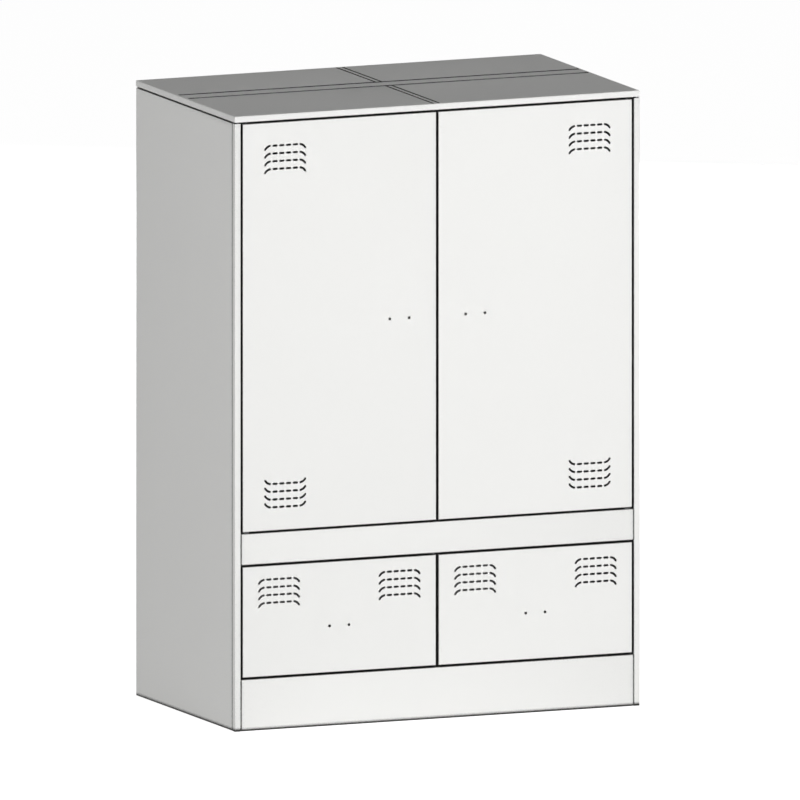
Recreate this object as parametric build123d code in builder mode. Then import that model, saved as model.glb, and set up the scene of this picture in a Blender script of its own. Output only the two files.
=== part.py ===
from build123d import *
import math
import os

os.makedirs("parts", exist_ok=True)

# A steel highboard cabinet folded from thin sheet: a cupboard with two hinged doors and a
# shelf, over two drawers that stand side by side on a plain base rail.
# Lengths are in millimetres. Z is up, the front faces -Y, and X runs to the right as seen
# from the front. The origin is the middle of the footprint, on the floor.

# Overall size
cabinet_width = 670.0
cabinet_depth = 390.0
cabinet_height = 950.0

# Sheet metal
sheet = 0.8
bend_radius = 1.6
guide_sheet = 1.2
overrun = 2.0

# Division of the front, from the floor up
base_rail_height = 79.5
drawer_opening_height = 177.0
middle_rail_height = 48.0
top_skirt = 10.0
post_width = 10.0

# Gaps round the doors and the drawer fronts
side_gap = 2.7
door_end_gap = 2.6
door_centre_gap = 3.5
drawer_end_gap = 3.1
drawer_centre_gap = 4.4

# Top panel: the lower edge of its skirt curls in, and two channels are pressed into it
skirt_curl = 2.2
cross_channel_width = 37.0
cross_channel_depth = 1.5
cross_channel_setback = 212.0
long_channel_width = 10.0
long_channel_depth = 1.0
channel_edge_margin = 4.0
channel_wall_angle = 40.0

# Side panels: flanges all round, and a joggled lap behind the front post
panel_flange = 10.0
post_side_flange = 11.3
post_depth = 20.0
seam_weld_height = 11.3
joggle_turn = 45.0

# Rails between the posts
rail_shelf_depth = 35.0
middle_rail_lower_flange = 25.0
base_rail_foot = 15.0
head_stop_drop = 16.0
floor_step = 12.0

# Doors and drawer fronts are folded pans
pan_thickness = 16.0
door_lip = 12.0
drawer_lip = 20.0
stop_gap = 3.0
stop_play = 0.3

# Vents: rows of short slots, the last one on each side curved
vent_rows = 4
vent_row_pitch = 12.0
vent_slot_height = 3.0
vent_slot_length = 8.6
vent_slot_pitch = 11.2
vent_straight_slots = 4
vent_end_radius = 10.6
vent_end_angle = 70.0
vent_end_chords = 3
door_vent_inset = 70.5
door_vent_margin = 36.0
drawer_vent_inset = 60.3
drawer_vent_margin = 21.4

# Holes for the screws of the handles
handle_hole_radius = 2.25
handle_hole_spacing = 32.0
door_handle_inset = 61.0
drawer_handle_height = 71.7

# Door hinges: a stud at the top and the bottom of each door turns in a square snap-in bush
hinge_inset = 7.0
hinge_setback = 6.0
pin_radius = 2.5
pin_reach = 5.5
pin_clearance = 0.05
bush_width = 7.2
bush_flange_width = 9.2
bush_body_length = 4.5
hinge_play = 0.3

# Door stiffener, a hat section down the middle of each door
stiffener_width = 36.0
stiffener_foot = 14.0

# Magnets at the head of the doors, buffers at their foot
magnet_width = 24.0
magnet_height = 10.0
magnet_inset = 45.0
buffer_width = 12.0
buffer_height = 7.0
buffer_inset = 45.0

# Shelf, shelf rails and clips
shelf_level = 302.0
shelf_thickness = 20.0
shelf_side_gap = 1.7
shelf_front_setback = 30.0
shelf_rear_gap = 5.0
shelf_rail_depth = 8.0
shelf_rail_width = 20.0
shelf_rail_end_gap = 15.0
front_shelf_rail_inset = 26.0
rear_shelf_rail_inset = 30.0
slot_pitch = 50.0
slot_width = 10.0
slot_height = 3.0
clip_thickness = 1.5
clip_width = 9.0
clip_ledge = 9.0
clip_tongue = 3.0
clip_hook = 9.0
clip_play = 0.3

# Partition between the drawers
partition_width = 18.0
partition_rear_flange = 12.0

# Drawer trays
tray_floor_gap = 8.5
tray_top_gap = 38.4
tray_rear_gap = 29.4
tray_front_drop = 67.4
inner_front_margin = 1.8
screw_window_width = 48.0
screw_window_height = 14.0

# Drawer guides, runners and glide blocks
guide_height = 24.0
guide_depth = 12.0
guide_rise = 12.0
guide_gap = 1.0
guide_front_setback = 3.0
guide_rear_gap = 8.0
runner_front_gap = 1.0
runner_reach = 11.0
runner_web_height = 14.0
front_glide_length = 60.0
front_glide_height = 9.0
rear_glide_length = 20.0
glide_width = 9.5
glide_clearance = 0.3
glide_chamfer = 1.5
glide_side_gap = 0.5
bracket_width = 25.0
bracket_foot = 8.0
bracket_inset = 30.0

# Buffers for the drawers, on the partition
drawer_buffer_width = 4.4
drawer_buffer_height = 12.0
drawer_buffer_rise = 70.0

# Planes and edges that the pieces share
half_width = cabinet_width / 2
front = -cabinet_depth / 2
rear = cabinet_depth / 2
body_top = cabinet_height - top_skirt
half_opening = half_width - post_width
side_inner = half_width - sheet
back_inner = rear - 2 * sheet
inner_bend_radius = bend_radius - sheet
skin_inner = front + sheet
pan_rear = front + pan_thickness
stop_face = pan_rear + stop_gap
post_rear = front + post_depth

drawer_opening_top = base_rail_height + drawer_opening_height
door_sill = drawer_opening_top + middle_rail_height
drawer_floor_top = base_rail_height + floor_step
cupboard_floor_top = door_sill + floor_step
head_seat = body_top + sheet
head_bottom = body_top - head_stop_drop

pan_left = -half_opening + side_gap
door_right = -door_centre_gap / 2
door_bottom = door_sill + door_end_gap
door_top = body_top - door_end_gap
drawer_right = -drawer_centre_gap / 2
drawer_bottom = base_rail_height + drawer_end_gap
drawer_top = drawer_opening_top - drawer_end_gap
hinge_x = pan_left + hinge_inset
hinge_y = front + hinge_setback
bush_flange_thickness = door_end_gap - hinge_play

guide_envelope = guide_sheet + guide_gap + guide_depth
tray_left = -half_opening + guide_envelope
tray_right = -partition_width / 2 - guide_envelope
tray_bottom = drawer_floor_top + tray_floor_gap
tray_top = drawer_top - tray_top_gap
tray_rear = back_inner - tray_rear_gap
inner_front_top = drawer_top - tray_front_drop
inner_front_bottom = drawer_bottom + inner_front_margin
guide_bottom = tray_bottom + guide_rise
guide_front = stop_face + guide_front_setback
guide_rear = back_inner - guide_rear_gap
runner_leg_bottom = guide_bottom + guide_sheet + front_glide_height + glide_clearance
glide_outer = guide_envelope - guide_sheet - glide_side_gap

shelf_rail_face = side_inner - shelf_rail_depth
shelf_top = cupboard_floor_top + shelf_level
shelf_bottom = shelf_top - shelf_thickness
clip_top = shelf_bottom - clip_play
shelf_rail_places = (post_rear + front_shelf_rail_inset, back_inner - rear_shelf_rail_inset)
LOW = (Align.CENTER, Align.CENTER, Align.MIN)


def block(low, high, mode=Mode.ADD):
    """Make a block between its lowest and its highest corner."""
    middle = [(a + b) / 2 for a, b in zip(low, high)]
    size = [b - a for a, b in zip(low, high)]
    with Locations(tuple(middle)):
        return Box(*size, mode=mode)


def column(x, y, z, width, height, mode=Mode.ADD):
    """Make an upright square column from the middle of its lowest face."""
    with Locations((x, y, z)):
        return Box(width, width, height, align=LOW, mode=mode)


def post(x, y, z, radius, height, mode=Mode.ADD):
    """Make an upright round post from the middle of its lowest face."""
    with Locations((x, y, z)):
        return Cylinder(radius, height, align=LOW, mode=mode)


def pad(x, z, back_y, front_y, width, height):
    """Make a flat pad on an upright face, between two planes across Y."""
    return block(
        (x - width / 2, front_y, z - height / 2),
        (x + width / 2, back_y, z + height / 2),
    )


def folded_section(plane, points, side):
    """Draw the section of a sheet with rounded folds, one skin of which has the points."""
    with BuildSketch(plane) as section:
        with BuildLine():
            FilletPolyline(*points, radius=[bend_radius] * (len(points) - 2))
            offset(amount=sheet, side=side)
        make_face()
    return section.sketch


def pressed_section(plane, points, side, thickness):
    """Draw the section of a small strip with sharp folds, one skin of which has the points."""
    with BuildSketch(plane) as section:
        with BuildLine():
            Polyline(*points)
            offset(amount=thickness, side=side, kind=Kind.INTERSECTION)
        make_face()
    return section.sketch


def save(piece, name):
    """Label a finished piece and write it to its own file."""
    piece.part.label = name
    export_step(piece.part, f"parts/{name}.step")


def save_pair(piece, name):
    """Write a left-hand piece, and its mirror image for the right."""
    save(piece, f"left_{name}")
    with BuildPart() as twin:
        mirror(piece.part, about=Plane.YZ)
    save(twin, f"right_{name}")


def make_top_panel():
    """A low lid with a curled skirt and two shallow channels pressed into it."""
    cross_y = front + cross_channel_setback
    end_x = half_width - channel_edge_margin
    end_y = rear - channel_edge_margin
    channels = (
        (cross_y, end_x, cross_channel_width / 2, cross_channel_depth),
        (0, long_channel_width / 2, end_y, long_channel_depth),
    )
    with BuildPart() as lid:
        block((-half_width, front, body_top), (half_width, rear, cabinet_height))
        rims = lid.edges().filter_by(Axis.Z, reverse=True)
        fillet(rims, radius=bend_radius)
        offset(amount=-sheet, mode=Mode.SUBTRACT)
        block(
            (-half_width + skirt_curl, front + skirt_curl, body_top - overrun),
            (half_width - skirt_curl, rear - skirt_curl, body_top + overrun),
            mode=Mode.SUBTRACT,
        )
        under = cabinet_height - sheet
        for y, half_x, half_y, depth in channels:
            block((-half_x, y - half_y, under - depth), (half_x, y + half_y, under))
        for y, half_x, half_y, depth in channels:
            slope = depth * math.tan(math.radians(channel_wall_angle))
            with BuildSketch(Plane.XY.offset(cabinet_height - depth)) as bed:
                with Locations((0, y)):
                    Rectangle(2 * (half_x - slope), 2 * (half_y - slope))
            extrude(bed.sketch, amount=depth + sheet, taper=-channel_wall_angle, mode=Mode.SUBTRACT)
    save(lid, "top_panel")


def make_side_panels():
    """A flanged wall whose front edge is joggled in and laps behind the front post."""
    seam = front + post_side_flange
    wall_front = seam + sheet
    turn = sheet * math.tan(math.radians(joggle_turn / 2))
    with BuildPart() as panel:
        block((-half_width, wall_front, 0), (-half_width + panel_flange, rear, body_top))
        wall = panel.faces().sort_by(Axis.X)[0]
        rims = wall.edges().filter_by(lambda edge: edge.center().Y > wall_front + overrun)
        fillet(rims, radius=bend_radius)
        open_faces = [panel.faces().sort_by(Axis.X)[-1], panel.faces().sort_by(Axis.Y)[0]]
        offset(amount=-sheet, openings=open_faces)
        block(
            (-side_inner + sheet, wall_front - overrun, -overrun),
            (-half_opening + overrun, post_rear, body_top + overrun),
            mode=Mode.SUBTRACT,
        )
        with BuildSketch(Plane.XY.offset(bend_radius)):
            with BuildLine():
                Polyline(
                    (-half_width, wall_front),
                    (-side_inner, seam),
                    (-side_inner, front + bend_radius),
                    (-side_inner + sheet, front + bend_radius),
                    (-side_inner + sheet, seam + turn),
                    (-side_inner, wall_front + turn),
                    (-side_inner, wall_front + sheet),
                    (-half_width, wall_front + sheet),
                    close=True,
                )
            make_face()
        extrude(amount=body_top - 2 * bend_radius)
        with BuildSketch(Plane.XY.offset(body_top - bend_radius - seam_weld_height)):
            with BuildLine():
                Polyline(
                    (-half_width, seam),
                    (-side_inner, seam),
                    (-half_width, wall_front),
                    close=True,
                )
            make_face()
        extrude(amount=seam_weld_height)
    save_pair(panel, "side_panel")


def make_front_posts():
    """A folded box post: side flange, narrow front face, jamb and rear return."""
    points = [
        (-half_width, front + post_side_flange),
        (-half_width, front),
        (-half_opening, front),
        (-half_opening, post_rear),
        (-side_inner + sheet, post_rear),
    ]
    with BuildPart() as upright:
        extrude(folded_section(Plane.XY, points, Side.LEFT), amount=body_top)
    save_pair(upright, "front_post")


def make_back_panel():
    """A flat sheet inside the rear flanges of the sides, flanged at its foot and head."""
    half_back = side_inner - inner_bend_radius
    points = [
        (back_inner - panel_flange, sheet),
        (rear - sheet, sheet),
        (rear - sheet, body_top - sheet),
        (back_inner - panel_flange, body_top - sheet),
    ]
    with BuildPart() as back:
        section = folded_section(Plane.YZ.offset(-half_back), points, Side.LEFT)
        extrude(section, amount=2 * half_back)
    save(back, "back_panel")


def make_head_rail():
    """An angle on the curled edge of the lid; its web stops the doors at their heads."""
    points = [
        (front + bend_radius, head_seat + sheet),
        (stop_face + sheet, head_seat + sheet),
        (stop_face + sheet, head_bottom),
    ]
    with BuildPart() as rail:
        section = folded_section(Plane.YZ.offset(-half_opening), points, Side.RIGHT)
        extrude(section, amount=2 * half_opening)
        for side in (-1, 1):
            column(side * hinge_x, hinge_y, head_seat - overrun, bush_width, 2 * overrun,
                   mode=Mode.SUBTRACT)
    save(rail, "head_rail")


def make_middle_rail():
    """The channel between the doors and the drawers; it carries the lower hinge bushes."""
    points = [
        (front + rail_shelf_depth, door_sill),
        (front, door_sill),
        (front, drawer_opening_top),
        (front + middle_rail_lower_flange, drawer_opening_top),
    ]
    with BuildPart() as rail:
        section = folded_section(Plane.YZ.offset(-half_opening), points, Side.LEFT)
        extrude(section, amount=2 * half_opening)
        for side in (-1, 1):
            column(side * hinge_x, hinge_y, door_sill - overrun, bush_width, 2 * overrun,
                   mode=Mode.SUBTRACT)
    save(rail, "middle_rail")


def make_base_rail():
    """The plain rail under the drawers, which stands on the floor."""
    points = [
        (front + rail_shelf_depth, base_rail_height),
        (front, base_rail_height),
        (front, 0),
        (front + base_rail_foot, 0),
    ]
    with BuildPart() as rail:
        section = folded_section(Plane.YZ.offset(-half_opening), points, Side.LEFT)
        extrude(section, amount=2 * half_opening)
    save(rail, "base_rail")


def make_floor(seat, name):
    """A floor with its rims turned down, on the flange of the rail in front of it."""
    top = seat + floor_step
    with BuildPart() as floor:
        block((-side_inner, stop_face, seat), (side_inner, back_inner, top))
        fillet(floor.edges().group_by(Axis.Z)[-1].sort_by(Axis.Y)[0], radius=bend_radius)
        offset(amount=-sheet, openings=floor.faces().sort_by(Axis.Z)[0])
        for side in (-1, 1):
            inner_x = side * half_opening
            outer_x = side * (side_inner + overrun)
            block(
                (min(inner_x, outer_x), stop_face - overrun, seat - overrun),
                (max(inner_x, outer_x), post_rear, top + overrun),
                mode=Mode.SUBTRACT,
            )
    save(floor, name)


def make_partition():
    """A folded box wall between the drawers, flanged onto the back panel."""
    inner_x = partition_width / 2 - sheet
    flange_x = partition_width / 2 + partition_rear_flange
    top = cupboard_floor_top - sheet
    points = [
        (-flange_x, back_inner),
        (-inner_x, back_inner),
        (-inner_x, stop_face + sheet),
        (inner_x, stop_face + sheet),
        (inner_x, back_inner),
        (flange_x, back_inner),
    ]
    with BuildPart() as wall:
        section = pressed_section(Plane.XY.offset(drawer_floor_top), points, Side.RIGHT, sheet)
        extrude(section, amount=top - drawer_floor_top)
        block(
            (-flange_x, stop_face - overrun, drawer_opening_top),
            (flange_x, front + rail_shelf_depth, top + overrun),
            mode=Mode.SUBTRACT,
        )
        block(
            (-flange_x - overrun, back_inner - bend_radius, door_sill),
            (flange_x + overrun, rear, top + overrun),
            mode=Mode.SUBTRACT,
        )
    save(wall, "drawer_partition")


def make_shelf_rails():
    """Two upright channels on the side wall, slotted for the shelf clips."""
    low = cupboard_floor_top + shelf_rail_end_gap
    high = head_bottom - shelf_rail_end_gap
    slots_below = int((clip_top - slot_height - low) // slot_pitch)
    slots_above = int((high - clip_top) // slot_pitch)
    with BuildPart() as rails:
        for y in shelf_rail_places:
            points = [
                (-side_inner, y - shelf_rail_width / 2),
                (-shelf_rail_face, y - shelf_rail_width / 2),
                (-shelf_rail_face, y + shelf_rail_width / 2),
                (-side_inner, y + shelf_rail_width / 2),
            ]
            section = pressed_section(Plane.XY.offset(low), points, Side.LEFT, sheet)
            extrude(section, amount=high - low)
            for step in range(-slots_below, slots_above + 1):
                slot_top = clip_top + step * slot_pitch
                block(
                    (-shelf_rail_face - sheet - overrun, y - slot_width / 2, slot_top - slot_height),
                    (-shelf_rail_face + overrun, y + slot_width / 2, slot_top),
                    mode=Mode.SUBTRACT,
                )
    save_pair(rails, "shelf_rails")


def make_shelf_clips():
    """Four clips: a tongue in a slot of the rail, a ledge under the shelf and a hook."""
    with BuildPart() as clips:
        for y in shelf_rail_places:
            for side in (-1, 1):
                profile = [
                    (shelf_rail_face + clip_tongue, clip_top),
                    (shelf_rail_face - clip_ledge, clip_top),
                    (shelf_rail_face - clip_ledge, clip_top - clip_thickness),
                    (shelf_rail_face - clip_thickness, clip_top - clip_thickness),
                    (shelf_rail_face - clip_thickness, clip_top - clip_hook),
                    (shelf_rail_face, clip_top - clip_hook),
                    (shelf_rail_face, clip_top - clip_thickness),
                    (shelf_rail_face + clip_tongue, clip_top - clip_thickness),
                ]
                with BuildSketch(Plane.XZ.offset(clip_width / 2 - y)):
                    with BuildLine():
                        Polyline(*[(side * x, z) for x, z in profile], close=True)
                    make_face()
                extrude(amount=-clip_width)
    save(clips, "shelf_clips")


def make_shelf():
    """The loose shelf, with its rims turned down, on the four clips."""
    half_shelf = shelf_rail_face - shelf_side_gap
    with BuildPart() as shelf:
        block(
            (-half_shelf, stop_face + shelf_front_setback, shelf_bottom),
            (half_shelf, back_inner - shelf_rear_gap, shelf_top),
        )
        fillet(shelf.edges().group_by(Axis.Z)[-1].sort_by(Axis.Y)[0], radius=bend_radius)
        offset(amount=-sheet, openings=shelf.faces().sort_by(Axis.Z)[0])
    save(shelf, "shelf")


def make_hinge_bushes():
    """Four square bushes: two in the head rail, and two in the middle rail under the doors."""
    bore = pin_radius + pin_clearance
    upper_flange = head_seat + sheet
    lower_body = door_sill - bush_body_length
    length = bush_body_length + bush_flange_thickness
    with BuildPart() as bushes:
        for side in (-1, 1):
            x = side * hinge_x
            column(x, hinge_y, head_seat, bush_width, bush_body_length)
            column(x, hinge_y, upper_flange, bush_flange_width, bush_flange_thickness)
            column(x, hinge_y, lower_body, bush_width, bush_body_length)
            column(x, hinge_y, door_sill, bush_flange_width, bush_flange_thickness)
            for low in (head_seat, lower_body):
                post(x, hinge_y, low - overrun, bore, length + 2 * overrun, mode=Mode.SUBTRACT)
    save(bushes, "hinge_bushes")


def make_catch_magnets():
    """A magnet for each door, on the web of the head rail near the doors' free edges."""
    x = door_centre_gap / 2 + magnet_inset
    with BuildPart() as magnets:
        for side in (-1, 1):
            pad(side * x, door_top - door_lip / 2, stop_face, pan_rear + stop_play,
                magnet_width, magnet_height)
    save(magnets, "catch_magnets")


def make_door_buffers():
    """Two rubber buffers for each door, on the front rim of the cupboard floor."""
    places = (door_centre_gap / 2 + buffer_inset, -pan_left - buffer_inset)
    with BuildPart() as buffers:
        for x in places:
            for side in (-1, 1):
                pad(side * x, door_sill + floor_step / 2, stop_face, pan_rear + stop_play,
                    buffer_width, buffer_height)
    save(buffers, "door_buffers")


def make_drawer_buffers():
    """A small rubber buffer for each drawer, on the front of the partition."""
    x = (partition_width - drawer_buffer_width) / 2
    with BuildPart() as buffers:
        for side in (-1, 1):
            pad(side * x, base_rail_height + drawer_buffer_rise, stop_face,
                pan_rear + sheet + stop_play, drawer_buffer_width, drawer_buffer_height)
    save(buffers, "drawer_buffers")


def cut_vent_group(middle_x, flat_row, row_step):
    """Cut one group of vent rows through the skin.

    Each row is a line of short slots with a curved slot at each side, which turns towards
    the same side as row_step: down where it is negative, up where it is positive.
    """
    bend = 1 if row_step > 0 else -1
    flat_half = (vent_straight_slots - 1) * vent_slot_pitch / 2 + vent_slot_length / 2
    arc_start = flat_half + vent_slot_pitch - vent_slot_length
    chord = math.radians(vent_end_angle) / vent_end_chords
    chord_turns = [chord * step for step in range(vent_end_chords + 1)]
    with BuildSketch(Plane.XZ.offset(overrun - front)) as slots:
        with BuildLine():
            for row in range(vent_rows):
                z = flat_row + row * row_step
                for slot in range(vent_straight_slots):
                    x = middle_x - flat_half + slot * vent_slot_pitch
                    Line((x, z), (x + vent_slot_length, z))
                for side in (-1, 1):
                    curve = [
                        (
                            middle_x + side * (arc_start + vent_end_radius * math.sin(turn)),
                            z + bend * vent_end_radius * (1 - math.cos(turn)),
                        )
                        for turn in chord_turns
                    ]
                    Polyline(*curve)
        trace(line_width=vent_slot_height)
    extrude(slots.sketch, amount=-(sheet + 2 * overrun), mode=Mode.SUBTRACT)


def cut_handle_holes(middle_x, z):
    """Cut the pair of holes for the screws of a handle."""
    with BuildSketch(Plane.XZ.offset(overrun - front)) as holes:
        with Locations((middle_x, z)):
            with GridLocations(handle_hole_spacing, 0, 2, 1):
                Circle(handle_hole_radius)
    extrude(holes.sketch, amount=-(sheet + 2 * overrun), mode=Mode.SUBTRACT)


def fold_pan(pan, left, right, bottom, top, lip):
    """Fold a front: a skin with its four edges turned back, and lips turned in behind."""
    block((left, front, bottom), (right, pan_rear, top))
    fillet(pan.faces().sort_by(Axis.Y)[0].edges(), radius=bend_radius)
    offset(amount=-sheet, mode=Mode.SUBTRACT)
    block(
        (left + lip, pan_rear - sheet - overrun, bottom + lip),
        (right - lip, pan_rear + overrun, top - lip),
        mode=Mode.SUBTRACT,
    )


def make_doors():
    """Each door: the pan with its vents and holes, its stiffener and its hinge studs."""
    vent_x = pan_left + door_vent_inset
    with BuildPart() as pan:
        fold_pan(pan, pan_left, door_right, door_bottom, door_top, door_lip)
        cut_vent_group(vent_x, door_top - door_vent_margin, -vent_row_pitch)
        cut_vent_group(vent_x, door_bottom + door_vent_margin, vent_row_pitch)
        cut_handle_holes(door_right - door_handle_inset, (door_bottom + door_top) / 2)
    save_pair(pan, "door_pan")

    middle_x = (pan_left + door_right) / 2
    leg_x = stiffener_width / 2
    foot_x = leg_x + stiffener_foot
    crown = pan_rear - 2 * sheet
    points = [
        (middle_x - foot_x, skin_inner),
        (middle_x - leg_x, skin_inner),
        (middle_x - leg_x, crown),
        (middle_x + leg_x, crown),
        (middle_x + leg_x, skin_inner),
        (middle_x + foot_x, skin_inner),
    ]
    low = door_bottom + bend_radius
    with BuildPart() as stiffener:
        section = folded_section(Plane.XY.offset(low), points, Side.LEFT)
        extrude(section, amount=door_top - bend_radius - low)
    save_pair(stiffener, "door_stiffener")

    lower_tip = door_sill - pin_reach
    with BuildPart() as pins:
        post(hinge_x, hinge_y, door_top, pin_radius, body_top + pin_reach - door_top)
        post(hinge_x, hinge_y, lower_tip, pin_radius, door_bottom - lower_tip)
    save_pair(pins, "hinge_pins")


def make_drawers():
    """Each drawer: its front pan, the inner sheet on its back, and the tray behind that."""
    middle_x = (pan_left + drawer_right) / 2
    handle_z = drawer_bottom + drawer_handle_height
    vent_z = drawer_top - drawer_vent_margin
    with BuildPart() as pan:
        fold_pan(pan, pan_left, drawer_right, drawer_bottom, drawer_top, drawer_lip)
        cut_vent_group(pan_left + drawer_vent_inset, vent_z, -vent_row_pitch)
        cut_vent_group(drawer_right - drawer_vent_inset, vent_z, -vent_row_pitch)
        cut_handle_holes(middle_x, handle_z)
    save_pair(pan, "drawer_front")

    with BuildPart() as tray:
        block((tray_left, pan_rear + sheet, tray_bottom), (tray_right, tray_rear, tray_top))
        fillet(tray.faces().sort_by(Axis.Z)[0].edges().filter_by(Axis.Y), radius=bend_radius)
        open_faces = [tray.faces().sort_by(Axis.Z)[-1], tray.faces().sort_by(Axis.Y)[0]]
        offset(amount=-sheet, openings=open_faces)
    save_pair(tray, "drawer_tray")

    with BuildPart() as inner:
        block(
            (pan_left + inner_front_margin, pan_rear, inner_front_bottom),
            (drawer_right - inner_front_margin, pan_rear + sheet, inner_front_top),
        )
        block(
            (middle_x - screw_window_width / 2, pan_rear - overrun,
             handle_z - screw_window_height / 2),
            (middle_x + screw_window_width / 2, pan_rear + overrun,
             handle_z + screw_window_height / 2),
            mode=Mode.SUBTRACT,
        )
    save_pair(inner, "drawer_inner_front")


def make_drawer_guides():
    """The fixed channels of each drawer, their glide blocks and the outer brackets."""
    sides = ((tray_left, -1), (tray_right, 1))
    guide_top = guide_bottom + guide_height
    length = guide_rear - guide_front
    with BuildPart() as guides:
        for tray_x, side in sides:
            web_x = tray_x + side * guide_envelope
            edge_x = tray_x + side * (guide_sheet + guide_gap)
            points = [
                (edge_x, guide_bottom),
                (web_x, guide_bottom),
                (web_x, guide_top),
                (edge_x, guide_top),
            ]
            turn = Side.RIGHT if side < 0 else Side.LEFT
            section = pressed_section(Plane.XZ.offset(-guide_front), points, turn, guide_sheet)
            extrude(section, amount=-length)
    save_pair(guides, "drawer_guides")

    with BuildPart() as glides:
        for tray_x, side in sides:
            outer_x = tray_x + side * glide_outer
            inner_x = outer_x - side * glide_width
            low = guide_bottom + guide_sheet
            block(
                (min(outer_x, inner_x), guide_front, low),
                (max(outer_x, inner_x), guide_front + front_glide_length, low + front_glide_height),
            )
        top_edges = glides.edges().filter_by(Axis.X).group_by(Axis.Z)[-1]
        chamfer(top_edges, length=glide_chamfer)
    save_pair(glides, "front_glides")

    crown_x = -half_opening - guide_sheet
    with BuildPart() as brackets:
        for y in (guide_front + bracket_inset, guide_rear - bracket_inset):
            near = y - bracket_width / 2
            far = y + bracket_width / 2
            points = [
                (-side_inner, near - bracket_foot),
                (-side_inner, near),
                (crown_x, near),
                (crown_x, far),
                (-side_inner, far),
                (-side_inner, far + bracket_foot),
            ]
            section = pressed_section(Plane.XY.offset(guide_bottom), points, Side.RIGHT,
                                      guide_sheet)
            extrude(section, amount=guide_height)
    save_pair(brackets, "guide_brackets")


def make_drawer_runners():
    """The angles on the sides of each tray, with a glide block at the rear of each."""
    start = pan_rear + sheet + runner_front_gap
    sides = ((tray_left, -1), (tray_right, 1))
    with BuildPart() as runners:
        for tray_x, side in sides:
            points = [
                (tray_x + side * runner_reach, runner_leg_bottom),
                (tray_x, runner_leg_bottom),
                (tray_x, runner_leg_bottom + runner_web_height),
            ]
            turn = Side.LEFT if side < 0 else Side.RIGHT
            section = pressed_section(Plane.XZ.offset(-start), points, turn, guide_sheet)
            extrude(section, amount=-(tray_rear - start))
    save_pair(runners, "drawer_runners")

    low = guide_bottom + guide_sheet + glide_clearance
    high = guide_bottom + guide_height - guide_sheet - glide_clearance
    with BuildPart() as glides:
        for tray_x, side in sides:
            outer_x = tray_x + side * glide_outer
            inner_x = outer_x - side * glide_width
            block(
                (min(outer_x, inner_x), tray_rear - rear_glide_length, low),
                (max(outer_x, inner_x), tray_rear, high),
            )
        chamfer(glides.edges().filter_by(Axis.X), length=glide_chamfer)
        for tray_x, side in sides:
            leg_x = tray_x + side * runner_reach
            block(
                (min(leg_x, tray_x), tray_rear - rear_glide_length - overrun, runner_leg_bottom),
                (max(leg_x, tray_x), tray_rear + overrun, runner_leg_bottom + guide_sheet),
                mode=Mode.SUBTRACT,
            )
    save_pair(glides, "rear_glides")


make_top_panel()
make_side_panels()
make_front_posts()
make_back_panel()
make_head_rail()
make_middle_rail()
make_base_rail()
make_floor(base_rail_height, "drawer_floor")
make_floor(door_sill, "cupboard_floor")
make_partition()
make_shelf_rails()
make_shelf_clips()
make_shelf()
make_hinge_bushes()
make_catch_magnets()
make_door_buffers()
make_drawer_buffers()
make_doors()
make_drawers()
make_drawer_guides()
make_drawer_runners()
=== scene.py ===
import math

import bmesh
import bpy
from mathutils import Matrix, Vector


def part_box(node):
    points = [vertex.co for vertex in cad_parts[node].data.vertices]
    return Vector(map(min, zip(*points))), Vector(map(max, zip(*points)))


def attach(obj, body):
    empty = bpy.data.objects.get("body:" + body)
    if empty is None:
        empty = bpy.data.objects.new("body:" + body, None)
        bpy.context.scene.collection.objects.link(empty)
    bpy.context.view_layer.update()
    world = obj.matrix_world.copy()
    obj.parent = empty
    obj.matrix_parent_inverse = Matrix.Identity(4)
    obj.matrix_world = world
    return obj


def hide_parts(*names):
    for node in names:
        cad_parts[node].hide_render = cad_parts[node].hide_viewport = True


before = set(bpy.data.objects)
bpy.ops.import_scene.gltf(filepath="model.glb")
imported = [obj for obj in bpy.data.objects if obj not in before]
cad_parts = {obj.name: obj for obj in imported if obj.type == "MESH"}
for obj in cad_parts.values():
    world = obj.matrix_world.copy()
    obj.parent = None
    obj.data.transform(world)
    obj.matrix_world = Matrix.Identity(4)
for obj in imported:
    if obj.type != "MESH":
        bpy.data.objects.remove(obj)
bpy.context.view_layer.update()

bl_info = {
    "name": "Steel highboard cabinet",
    "version": (1, 0, 0),
    "blender": (4, 5, 0),
    "location": "3D View > Sidebar > Cabinet",
    "description": "Dresses a folded steel highboard cabinet and sets up its studio",
    "category": "Object",
}

# The photograph's view, which has no perspective
VIEW_AZIMUTH = math.radians(-22.79)
VIEW_ELEVATION = math.radians(8.94)
# Its width, and how far its middle lies right of and above the middle of the cabinet's foot
VIEW_WIDTH = 1.2203
VIEW_RIGHT = 0.0185
VIEW_UP = 0.4583
CAMERA_DISTANCE = 6.0

SIDES = (("left", -1), ("right", 1))
# Places that are nearer than this are the same, and the room left where a pick mustn't miss
NEAR = 1e-6
SLACK = 1e-4


# Sizes and colours that a user would change

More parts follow.
